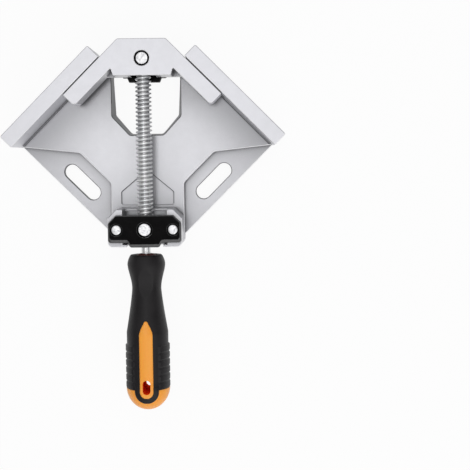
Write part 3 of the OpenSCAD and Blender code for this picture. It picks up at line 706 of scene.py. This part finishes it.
def lead_screw(crest, shaded_valley):
    """Turned screw with its thread as a true right-hand helix."""
    # Rows of one turn, as shares of the pitch and of the thread's depth
    shape = [(0.00, 0.0), (0.14, 0.0), (0.20, 0.10), (0.30, 0.44), (0.43, 0.88),
             (0.49, 1.0), (0.73, 1.0), (0.79, 0.88), (0.89, 0.42), (0.96, 0.10)]
    steps, rows = SCREW_STEPS, len(shape)
    turns = int((SHOULDER_Y - THREAD_NEAR - THREAD_SPARE) / PITCH) - 1
    start = THREAD_NEAR + THREAD_LEAD
    # The turns where the thread rises and runs out, and how fast
    rise_at, run_out_at, fade = 0.3, turns + 0.6, 1.4
    verts, faces, valleys = [], [], []
    index = {}
    total = turns * rows

    def point(i, j):
        key = (0, j + rows) if i == steps else (i, j)
        if key not in index:
            t = key[0] / steps
            share, height = shape[key[1] % rows]
            place = key[1] // rows + share + t
            ramp = min(1.0, max(0.0, (place - rise_at) * fade), max(0.0, (run_out_at - place) * fade))
            r = ROOT_R + (SCREW_R - ROOT_R) * height * ramp
            a = 2 * math.pi * t
            index[key] = len(verts)
            verts.append((r * math.sin(a), start + PITCH * place, SCREW_Z + r * math.cos(a)))
        return index[key]

    for j in range(total):
        deep = max(shape[j % rows][1], shape[(j + 1) % rows][1]) < 0.5
        for i in range(steps):
            if deep:
                valleys.append(len(faces))
            faces.append((point(i, j), point(i + 1, j), point(i + 1, j + 1), point(i, j + 1)))

    def ring(r, y):
        verts.extend(circle(r, y, steps))
        return list(range(len(verts) - steps, len(verts)))

    def end(last, profile):
        for r, y in profile:
            now = ring(r, y)
            faces.extend(quads(last, now))
            last = now
        faces.append(last)

    near = ring(ROOT_R, THREAD_NEAR + NEAR_CHAMFER)
    for i in range(steps - 1):
        faces.append((near[i], near[i + 1], point(i + 1, 0), point(i, 0)))
    seam = [point(0, j) for j in range(rows + 1)]
    faces.append([near[-1], near[0]] + seam + [point(steps - 1, 0)])
    far = ring(ROOT_R, SHOULDER_Y - FAR_COLLAR)
    for i in range(steps - 1):
        faces.append((far[i], far[i + 1], point(i + 1, total), point(i, total)))
    seam = [point(0, j) for j in range(total + rows, total - 1, -1)]
    faces.append([far[0], far[-1], point(steps - 1, total)] + seam)
    end(near, [(ROOT_R - NEAR_CHAMFER, THREAD_NEAR), (SHANK_R, THREAD_NEAR),
               (SHANK_R, SHANK_END + END_CHAMFER), (SHANK_R - END_CHAMFER, SHANK_END)])
    end(far, [(ROOT_R, SHOULDER_Y), (TIP_R, SHOULDER_Y), (TIP_R, CLIP_Y), (GROOVE_R, CLIP_Y),
              (GROOVE_R, CLIP_Y + CLIP_THICK), (TIP_R, CLIP_Y + CLIP_THICK),
              (TIP_R, TIP_Y - END_CHAMFER), (TIP_R - END_CHAMFER, TIP_Y)])
    mesh = mesh_from("threaded_screw", verts, faces, SCREW_ANGLE)
    # Painted shade: the faces low in the thread take the darker steel of the valleys.
    for k in valleys:
        mesh.polygons[k].material_index = 1
    piece("threaded_screw", mesh, [crest, shaded_valley], "screw", "plated_steel", "lead_screw")


# Handle


def handle_r(d):
    """Radius of the grip at a distance behind the nut's axis."""
    if d > DOME_FROM - PAD_PITCH:
        share = min(1.0, (d - DOME_FROM + PAD_PITCH) / PAD_PITCH)
        return GRIP_R + (dome_r(DOME_FROM) - GRIP_R) * share
    d -= HANDLE_GAP
    if d < BULGE_AT:
        return MOUTH_R + (BULGE_R - MOUTH_R) * math.sin(math.pi / 2 * max(d, 0.0) / BULGE_AT)
    if d < NECK_AT:
        share = ((d - BULGE_AT) / (NECK_AT - BULGE_AT)) ** NECK_EASE
        return NECK_R + (BULGE_R - NECK_R) * (1 + math.cos(math.pi * share)) / 2
    if d < GRIP_AT:
        return NECK_R + (GRIP_R - NECK_R) * ((d - NECK_AT) / (GRIP_AT - NECK_AT)) ** FLARE_EASE
    return GRIP_R


def dome_r(d):
    """Radius of the domed end."""
    t = min(1.0, (d - DOME_AT) / DOME_LENGTH)
    return DOME_R * math.sqrt(max(0.0, 1 - t * t))


def outer_r(d):
    """Radius of the handle with its domed end."""
    return handle_r(d) if d < DOME_FROM else dome_r(d)


def pad_height(d):
    """How far a side pad stands out of the grip, with its cross ridges."""
    first = DOME_FROM - PAD_LENGTH
    rise = smooth(d, first - PAD_STEP, first + PAD_STEP) * (GRIP_R + PAD_RISE - handle_r(d))
    wave = ((DOME_FROM - d) / PAD_PITCH) % 1.0
    groove = 1 - smooth(min(wave, 1 - wave), GROOVE_FLOOR, GROOVE_EDGE)
    return max(0.0, rise - (PAD_GROOVE * groove if d > first + PAD_PLAIN else 0.0))


def grip_stations():
    """Places of the grip's rings of points, closest on the pads, with how far the lips draw in there."""
    stations = [(HANDLE_GAP + at, lip) for at, lip in MOUTH_LIP]
    d = HANDLE_GAP + MOUTH_CLEAR
    pads = DOME_FROM - PAD_LENGTH - PAD_CLEAR
    for end, step in ((pads, NECK_SPACING), (DOME_FROM - END_CLEAR, PAD_SPACING)):
        while d < end:
            stations.append((d, 0.0))
            d += step
    return stations + [(DOME_FROM - at, lip) for at, lip in END_LIP]


def grip_body():
    """Black grip as a closed sleeve, with side pads and a thumb flat on the neck."""
    verts = []
    for d, lip in grip_stations():
        thumb = THUMB_DEEP * smooth(d, *THUMB_IN) * (1 - smooth(d, *THUMB_OUT))
        for i in range(GRIP_STEPS):
            a = 2 * math.pi * i / GRIP_STEPS
            r = handle_r(d) - lip
            x = abs(r * math.sin(a))
            r += smooth(x, BAND_W - PAD_INSIDE, BAND_W + PAD_OUTSIDE) * pad_height(d)
            if math.cos(a) > THUMB_UP:
                r = min(r, (handle_r(d) - thumb) / math.cos(a))
            verts.append((r * math.sin(a), -d, SCREW_Z + r * math.cos(a)))
    for d in (DOME_FROM, HANDLE_GAP):
        verts += circle(CORE_R, -d, GRIP_STEPS)
    rings = [range(first, first + GRIP_STEPS) for first in range(0, len(verts), GRIP_STEPS)]
    faces = []
    for a, b in zip(rings, rings[1:] + rings[:1]):
        faces += quads(a, b)
    return verts, faces


def flattened(shape, top):
    """The shape with nothing further than top above or below the handle's axis."""
    verts, faces = shape
    return [(x, y, SCREW_Z + max(-top, min(top, z - SCREW_Z))) for x, y, z in verts], faces


def overlay(half_width, d0, d1, rows, proud, top, foot, side):
    """A closed strip lying on the handle from d0 to d1, no higher than top; side is 1 above and -1 below."""
    half = [0.2, 0.45, 0.7, 0.86, 0.94, 0.985, 1.0]
    cross = [-c for c in reversed(half)] + [0.0] + half
    verts, faces = [], []
    tops, feet = [], []
    for k in range(rows + 1):
        d = d0 + (d1 - d0) * (1 - math.cos(math.pi * k / rows)) / 2
        w = max(half_width(d), OVERLAY_LEAST)
        r = outer_r(d) + proud
        tops.append(list(range(len(verts), len(verts) + len(cross))))
        for c in cross:
            x = c * w
            inside = min(w * (1 - abs(c)), d - d0, d1 - d)
            drop = OVERLAY_DROP * (1 - min(1.0, max(0.0, inside) / OVERLAY_EASE)) ** 2
            z = min(top, math.sqrt(max(0.01, r * r - x * x))) - drop
            verts.append((x, -d, SCREW_Z + side * z))
        feet.append((len(verts), len(verts) + 1))
        verts += [(c * w, -d, SCREW_Z + side * foot) for c in (-1.0, 1.0)]
    for k in range(rows):
        for i in range(len(cross) - 1):
            faces.append((tops[k][i], tops[k][i + 1], tops[k + 1][i + 1], tops[k + 1][i]))
        faces.append((tops[k][0], tops[k + 1][0], feet[k + 1][0], feet[k][0]))
        faces.append((tops[k][-1], feet[k][1], feet[k + 1][1], tops[k + 1][-1]))
        faces.append((feet[k][0], feet[k + 1][0], feet[k + 1][1], feet[k][1]))
    for k in (0, rows):
        faces.append(tops[k] + [feet[k][1], feet[k][0]])
    return verts, faces


def round_end(d, end, r):
    """Half width of a strip with a round end, at a place within r of that end."""
    return math.sqrt(max(0.0, r ** 2 - (d - end + r) ** 2))


def strip_half_width(d):
    """Orange strip: round at the dome, pointed towards the neck with a rounded tip."""
    if d > STRIP_END - STRIP_W:
        return round_end(d, STRIP_END, STRIP_W)
    d -= STRIP_TIP
    if d < TIP_ROUND:
        return TIP_ROUND * math.sqrt(max(0.0, 1 - (1 - d / TIP_ROUND) ** 2))
    share = min(1.0, (d - TIP_ROUND) / (STRIP_POINT - TIP_ROUND))
    return TIP_ROUND + (STRIP_W - TIP_ROUND) * (1 - (1 - share) ** STRIP_SWELL)


def band_half_width(d):
    """Black band over the dome, round at its end."""
    return round_end(d, BAND_END, BAND_W) if d > BAND_END - BAND_W else BAND_W


def slot_cutter(grow):
    """Closed prism of the hang hole, wider all round by grow."""
    r = HANG_WIDTH / 2 + grow
    reach = (HANG_LENGTH - HANG_WIDTH) / 2
    ring = []
    for start, y in ((0.0, reach), (math.pi, -reach)):
        turns = [start + math.pi * k / SLOT_STEPS for k in range(SLOT_STEPS + 1)]
        ring += [(r * math.cos(a), y + r * math.sin(a)) for a in turns]
    n = len(ring)
    verts = [(x, -HANG_AT + y, SCREW_Z + z) for z in (-CUTTER_HALF, CUTTER_HALF) for x, y in ring]
    faces = [list(range(n)), list(range(n, 2 * n))]
    faces += [(i, (i + 1) % n, n + (i + 1) % n, n + i) for i in range(n)]
    return verts, faces


def shell_object(name, shell):
    obj = bpy.data.objects.new(name, mesh_from(name, *shell))
    bpy.context.scene.collection.objects.link(obj)
    return obj


def joined(name, shells, grow):
    """Mesh of closed shells joined in the given order, less the hang hole widened by grow."""
    objs = [shell_object("%s_%d" % (name, k), shell) for k, shell in enumerate(shells)]
    objs.append(shell_object("slot_cutter", slot_cutter(grow)))
    for other in objs[1:]:
        mod = objs[0].modifiers.new("join", "BOOLEAN")
        mod.operation = "UNION" if other is not objs[-1] else "DIFFERENCE"
        mod.object, mod.solver = other, "EXACT"
    bpy.context.view_layer.update()
    graph = bpy.context.evaluated_depsgraph_get()
    mesh = bpy.data.meshes.new_from_object(objs[0].evaluated_get(graph))
    for obj in objs:
        bpy.data.objects.remove(obj)
    return mesh


def grip_piece(material):
    """Soft grip with its bands over the dome, above and below."""
    shells = [flattened(grip_body(), GRIP_TOP)]
    shells += [overlay(band_half_width, DOME_FROM - BAND_LAP, BAND_END, BAND_ROWS, BAND_PROUD, BAND_TOP,
                       CORE_R - BAND_DEEP, side) for side in (1, -1)]
    mesh = joined("grip", shells, HANG_EASE)
    shade(mesh, GRIP_ANGLE)
    piece("soft_grip", mesh, [material], "screw", "soft_grip", "handle_grip")


def dome():
    """Turned end of the core, from its shoulder inside the grip to the tip."""
    profile = [(0.0, DOME_SEAT - DOME_FROM), (DOME_SEAT_R, DOME_SEAT - DOME_FROM),
               (DOME_BEVEL_R, DOME_BEVEL - DOME_FROM)]
    profile += [(outer_r(DOME_FROM + at) - drop, ahead - DOME_FROM) for at, ahead, drop in DOME_LIP]
    for k in range(1, DOME_ROWS):
        share = math.sin(math.pi / 2 * k / DOME_ROWS)
        d = DOME_ROUND_FROM + (HANDLE_END - DOME_ROUND_FROM) * share
        profile.append((outer_r(d), -d))
    return lathe(profile + [(0.0, -HANDLE_END)], CORE_STEPS)


def rod():
    """Plain middle of the core, which the strips stand on."""
    r = CORE_R - CORE_PLAY
    profile = [(r, -DOME_FROM - ROD_LAP), (r, -ROD_FROM)]
    return lathe([(0.0, profile[0][1])] + profile + [(0.0, profile[1][1])], CORE_STEPS)


def collar():
    """Ring of the core that shows round the shank at the grip's mouth."""
    inner, tip_r = SHANK_R + COLLAR_PLAY, SHANK_R + COLLAR_TIP
    face, back, front = -HANDLE_GAP, -HANDLE_GAP - COLLAR_IN, -HANDLE_GAP + COLLAR_OUT
    profile = [(inner, back), (COLLAR_R, back), (COLLAR_R, face),
               (tip_r + COLLAR_EASE, front - COLLAR_EASE), (tip_r - COLLAR_FLAT, front), (inner, front)]
    return lathe(profile, COLLAR_STEPS, closed=True)


def core_piece(strip_orange, hole_shade_orange, collar_shade):
    """Hard core: dome, rod, strips above and below, and collar, with the hang hole's wall painted deep orange
    and the collar painted dark, both as painted shade.
    """
    shells = [flattened(dome(), DOME_TOP), rod()]
    shells += [overlay(strip_half_width, STRIP_TIP, STRIP_END, STRIP_ROWS, STRIP_PROUD, STRIP_TOP,
                       CORE_R - STRIP_DEEP, side) for side in (1, -1)]
    mesh = joined("core", shells, 0.0)
    bm = bmesh.new()
    bm.from_mesh(mesh)
    bm.from_mesh(mesh_from("collar", *collar()))
    for f in bm.faces:
        c = f.calc_center_median() / MM
        in_hole = (abs(c.x) < HANG_WIDTH / 2 + HANG_MARGIN and abs(f.normal.z) < HOLE_Z
                   and abs(c.y + HANG_AT) < HANG_LENGTH / 2 + HANG_MARGIN)
        on_collar = c.y > -HANDLE_GAP - 2 * COLLAR_IN
        # Painted shade on the hang hole's wall and on the collar.
        f.material_index = 1 if in_hole else 2 if on_collar else 0
    bm.to_mesh(mesh)
    bm.free()
    shade(mesh, CORE_ANGLE)
    materials = [strip_orange, hole_shade_orange, collar_shade]
    piece("handle_core_moulding", mesh, materials, "screw", "orange_plastic", "handle_core")


# Stage


def floor_material():
    """Plain grey for the light that it sends back, and nearly white where it is seen or mirrored."""
    material = bpy.data.materials.new("floor")
    material.use_nodes = True
    tree = material.node_tree
    tree.nodes.clear()
    out = tree.nodes.new("ShaderNodeOutputMaterial")
    lit = tree.nodes.new("ShaderNodeBsdfDiffuse")
    lit.inputs["Color"].default_value = FLOOR_COLOUR
    glow = tree.nodes.new("ShaderNodeEmission")
    glow.inputs["Strength"].default_value = 1.0
    path = tree.nodes.new("ShaderNodeLightPath")
    total = path.outputs["Is Camera Ray"]
    for key in ("Is Glossy Ray", "Is Transmission Ray"):
        either = tree.nodes.new("ShaderNodeMath")
        either.operation = "MAXIMUM"
        tree.links.new(total, either.inputs[0])
        tree.links.new(path.outputs[key], either.inputs[1])
        total = either.outputs[0]
    share = tree.nodes.new("ShaderNodeMath")
    share.operation = "MULTIPLY"
    share.inputs[1].default_value = FLOOR_GLOW
    tree.links.new(total, share.inputs[0])
    mix = tree.nodes.new("ShaderNodeMixShader")
    tree.links.new(share.outputs[0], mix.inputs["Fac"])
    tree.links.new(lit.outputs[0], mix.inputs[1])
    tree.links.new(glow.outputs[0], mix.inputs[2])
    tree.links.new(mix.outputs[0], out.inputs["Surface"])
    return material


def lay_floor():
    mesh = bpy.data.meshes.new("floor")
    corners = [(-1, -1), (1, -1), (1, 1), (-1, 1)]
    mesh.from_pydata([(x * FLOOR_HALF, y * FLOOR_HALF, FLOOR_Z) for x, y in corners], [], [(0, 1, 2, 3)])
    floor = bpy.data.objects.new("floor", mesh)
    bpy.context.scene.collection.objects.link(floor)
    mesh.materials.append(floor_material())


def studio():
    """World that grows lighter from the horizon up."""
    world = bpy.data.worlds.new("studio")
    bpy.context.scene.world = world
    world.use_nodes = True
    tree = world.node_tree
    back = tree.nodes["Background"]
    place = tree.nodes.new("ShaderNodeTexCoord")
    split = tree.nodes.new("ShaderNodeSeparateXYZ")
    ramp = tree.nodes.new("ShaderNodeValToRGB")
    stops = ((0.0, WORLD_LOW), (WORLD_HIGH_AT, WORLD_HIGH))
    for element, (at, colour) in zip(ramp.color_ramp.elements, stops):
        element.position = at
        element.color = colour
    tree.links.new(place.outputs["Generated"], split.inputs[0])
    tree.links.new(split.outputs["Z"], ramp.inputs["Fac"])
    tree.links.new(ramp.outputs["Color"], back.inputs["Color"])
    back.inputs["Strength"].default_value = WORLD_STRENGTH


def lamps():
    for name, at, aim, size, watts in LAMPS:
        data = bpy.data.lights.new(name, "AREA")
        data.shape = "SQUARE"
        data.size = size
        data.energy = watts
        lamp = bpy.data.objects.new(name, data)
        lamp.location = at
        lamp.rotation_euler = (Vector(aim) - Vector(at)).to_track_quat("-Z", "Y").to_euler()
        bpy.context.scene.collection.objects.link(lamp)


camera()
lay_floor()
studio()
lamps()
bpy.context.scene.view_settings.view_transform = "Standard"

aluminium = cast_aluminium("cast_aluminium", 0.52, 0.31, 0.05, 0.66)
# Lighter copy for tops and fence faces: a machined finish, and painted light too.
ground_and_lit = cast_aluminium("ground_and_lit_aluminium", 0.78, 0.48, 0.08)
# Dark copy for the walls and edges of openings: painted shade.
opening_shade = cast_aluminium("opening_shade_aluminium", 0.12, 0.45, 0.20)
# Painted highlight for the castings' edges.
edge_highlight = edge_highlight_aluminium()
steel = plated_steel("plated_steel", (0.70, 0.71, 0.72), (0.82, 0.825, 0.83), (0.88, 0.875, 0.86), 0.25)
crest = plated_steel("thread_crest", (0.80, 0.81, 0.82), (0.89, 0.895, 0.90), (0.95, 0.945, 0.935), 0.34)
# Darker steel for the thread's valleys: painted shade.
shaded_valley = plated_steel("thread_valley_shade", (0.50, 0.50, 0.505), (0.58, 0.58, 0.585), (0.68, 0.68, 0.68), 0.24)
pressed = pressed_steel()
black_metal = black_plate()
# Lighter black for the plates' rolled rims: painted sheen.
rim = rolled_edge_sheen()
rubber = soft_grip()
orange = orange_plastic("orange_plastic", (0.98, 0.355, 0.024), (1.0, 0.405, 0.036))
# Dark copy of the orange for the collar: painted shade.
brown = orange_plastic("collar_shade", (0.085, 0.016, 0.012), (0.12, 0.024, 0.016), 0.2)
# Deep orange copy for the hang hole's wall: painted shade.
deep = orange_plastic("hole_shade_orange", (0.96, 0.075, 0.006), (1.0, 0.11, 0.010), 0.0)

eased("base_casting", "bed_and_fences", CASTING_EASE, [aluminium, edge_highlight, ground_and_lit, opening_shade], "base",
      "cast_aluminium", casting_finish_and_light)
eased("jaw_casting", "moving_jaw", CASTING_EASE, [aluminium, edge_highlight, ground_and_lit], "jaw",
      "cast_aluminium", casting_finish_and_light)
housing_plate([black_metal, rim])
eased("jaw_plate", "under_plate", PLATE_EASE, [black_metal, rim], "jaw", "black_plate", edge_sheen)
eased("swivel_nut", "swivel_nut_turned", PIN_EASE, [pressed, black_metal], "nut",
      "plated_steel", pin_ring_shade(0.0, NUT_PIN_R, PLATE_Z))
eased("jaw_pivot", "jaw_pivot_turned", PIN_EASE, [pressed, black_metal], "carriage",
      "plated_steel", pin_ring_shade(PIVOT_Y, JAW_PIN_R, JAW_DECK_Z))
eased("thrust_washer", "thrust_washer_turned", WASHER_EASE, [steel], "screw", "plated_steel")
eased("retaining_clip", "retaining_clip_pressed", CLIP_EASE, [steel], "screw", "plated_steel")
lead_screw(crest, shaded_valley)
for side, x in (("left", -1), ("right", 1)):
    rivet("housing_rivet_" + side, "nut_rivet_" + side, pressed, "base", x * NUT_RIVET_X, 0.0,
          FENCE_TOP - RIVET_SINK, 1, RIVET_IN - RIVET_SINK)
    rivet("under_rivet_" + side, "jaw_rivet_" + side, pressed, "jaw", x * JAW_RIVET_X, PIVOT_Y,
          JAW_PLATE_Z, -1, JAW_RIVET_IN + JAW_BOTTOM - JAW_PLATE_Z)
grip_piece(rubber)
core_piece(orange, deep, brown)
